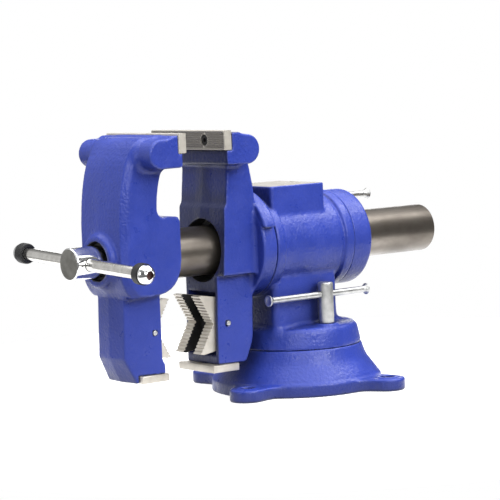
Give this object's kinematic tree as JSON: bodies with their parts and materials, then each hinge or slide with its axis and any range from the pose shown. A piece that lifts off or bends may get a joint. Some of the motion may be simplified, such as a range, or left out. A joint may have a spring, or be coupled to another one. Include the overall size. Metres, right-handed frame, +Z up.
{
  "type": "bench vise",
  "caption": "Rotating bench vise with serrated flat jaws above and V-shaped pipe jaws below a round slide, on a swivel base with bolt-down ears, a tommy-bar screw and an anvil pad.",
  "frame": {"origin": "centre of the base's underside, on the bench surface", "axes": "+Z up; +Y along the slide tube towards its bare rear end; +X to the right as seen from the handle"},
  "size_m": [0.231, 0.459, 0.2745],
  "materials": {
    "blue_paint": "hammered gloss blue enamel over cast iron",
    "ground_steel": "ground, serrated",
    "turned_steel": "turned and oiled",
    "chrome": "polished",
    "zinc_plate": "zinc plated",
    "dark_steel": "black oxide",
    "bronze": "machined",
    "rubber": "matte"
  },
  "bodies": {
    "base": {"base_casting": "blue_paint", "pivot_pin": "dark_steel"},
    "swivel": {"swivel_housing": "blue_paint", "lock_nut_right": "dark_steel", "lock_nut_left": "dark_steel", "head_lock_shoe": "bronze"},
    "lock_right": {"lock_bolt_right": "zinc_plate"},
    "lock_right_bar": {"lock_bar_right": "zinc_plate"},
    "lock_left": {"lock_bolt_left": "zinc_plate"},
    "lock_left_bar": {"lock_bar_left": "zinc_plate"},
    "head_lock": {"head_lock_bolt": "zinc_plate"},
    "head_lock_handle": {"head_lock_bar": "zinc_plate"},
    "head": {"rear_jaw": "blue_paint", "rear_collar": "blue_paint", "collar_screw_1": "dark_steel", "collar_screw_2": "dark_steel", "spindle_nut": "bronze", "nut_stud": "dark_steel", "rear_jaw_insert": "ground_steel", "rear_insert_screw_1": "dark_steel", "rear_insert_screw_2": "dark_steel", "rear_bottom_plate": "ground_steel", "rear_plate_screw_1": "dark_steel", "rear_plate_screw_2": "dark_steel", "rear_pipe_jaw_pin": "zinc_plate"},
    "rear_pipe": {"rear_pipe_jaw": "ground_steel"},
    "slide": {"front_jaw": "blue_paint", "slide_tube": "turned_steel", "tube_set_screw": "dark_steel", "front_jaw_insert": "ground_steel", "front_insert_screw_1": "dark_steel", "front_insert_screw_2": "dark_steel", "front_bottom_plate": "ground_steel", "front_plate_screw_1": "dark_steel", "front_plate_screw_2": "dark_steel", "front_pipe_jaw_pin": "zinc_plate"},
    "front_pipe": {"front_pipe_jaw": "ground_steel"},
    "screw": {"lead_screw": "chrome", "thrust_washer": "dark_steel", "screw_retaining_ring": "dark_steel"},
    "handle": {"handle_bar": "chrome", "handle_ball_near": "chrome", "handle_ball_far": "chrome", "handle_buffer_near": "rubber", "handle_buffer_far": "rubber"}
  },
  "joints": [
    {"name": "base_swivel", "type": "hinge", "parent": "base", "child": "swivel", "pos_m": [0, 0, 0.0455], "axis": [0, 0, 1], "continuous": true},
    {"name": "head_turn", "type": "hinge", "parent": "swivel", "child": "head", "pos_m": [0, 0, 0.1525], "axis": [0, 1, 0], "continuous": true},
    {"name": "screw_turn", "type": "hinge", "parent": "slide", "child": "screw", "pos_m": [0, -0.24, 0.1525], "axis": [0, -1, 0], "range_deg": [-2730, 4800]},
    {"name": "jaw_slide", "type": "slide", "parent": "head", "child": "slide", "axis": [0, -1, 0], "range_m": [-0.0456, 0.0801]},
    {"name": "handle_slide", "type": "slide", "parent": "screw", "child": "handle", "axis": [0.9988, 0, -0.0489], "range_m": [-0.079, 0.079]},
    {"name": "rear_pipe_rock", "type": "hinge", "parent": "head", "child": "rear_pipe", "pos_m": [0, -0.1084, 0.0795], "axis": [1, 0, 0], "range_deg": [-4, 4]},
    {"name": "front_pipe_rock", "type": "hinge", "parent": "slide", "child": "front_pipe", "pos_m": [0, -0.1995, 0.0795], "axis": [1, 0, 0], "range_deg": [-4, 4]},
    {"name": "lock_right_turn", "type": "hinge", "parent": "swivel", "child": "lock_right", "pos_m": [0.04996, 0.002, 0.08], "axis": [0, 0, 1], "range_deg": [0, 12]},
    {"name": "lock_right_bar_slide", "type": "slide", "parent": "lock_right", "child": "lock_right_bar", "axis": [0, 1, 0], "range_m": [-0.042, 0.062]},
    {"name": "lock_left_turn", "type": "hinge", "parent": "swivel", "child": "lock_left", "pos_m": [-0.04996, -0.002, 0.08], "axis": [0, 0, 1], "range_deg": [0, 9]},
    {"name": "lock_left_bar_slide", "type": "slide", "parent": "lock_left", "child": "lock_left_bar", "axis": [0, 1, 0], "range_m": [-0.062, 0.042]},
    {"name": "head_lock_turn", "type": "hinge", "parent": "swivel", "child": "head_lock", "pos_m": [-0.04558, 0.031, 0.19075], "axis": [-0.766, 0, 0.6428], "range_deg": [0, 60]},
    {"name": "head_lock_bar_slide", "type": "slide", "parent": "head_lock", "child": "head_lock_handle", "axis": [0, 1, 0], "range_m": [-0.075, 0.0015]}
  ],
  "couplings": [
    {"joint": "jaw_slide", "follows": "screw_turn", "m_per_rad": 0.00095493}
  ]
}
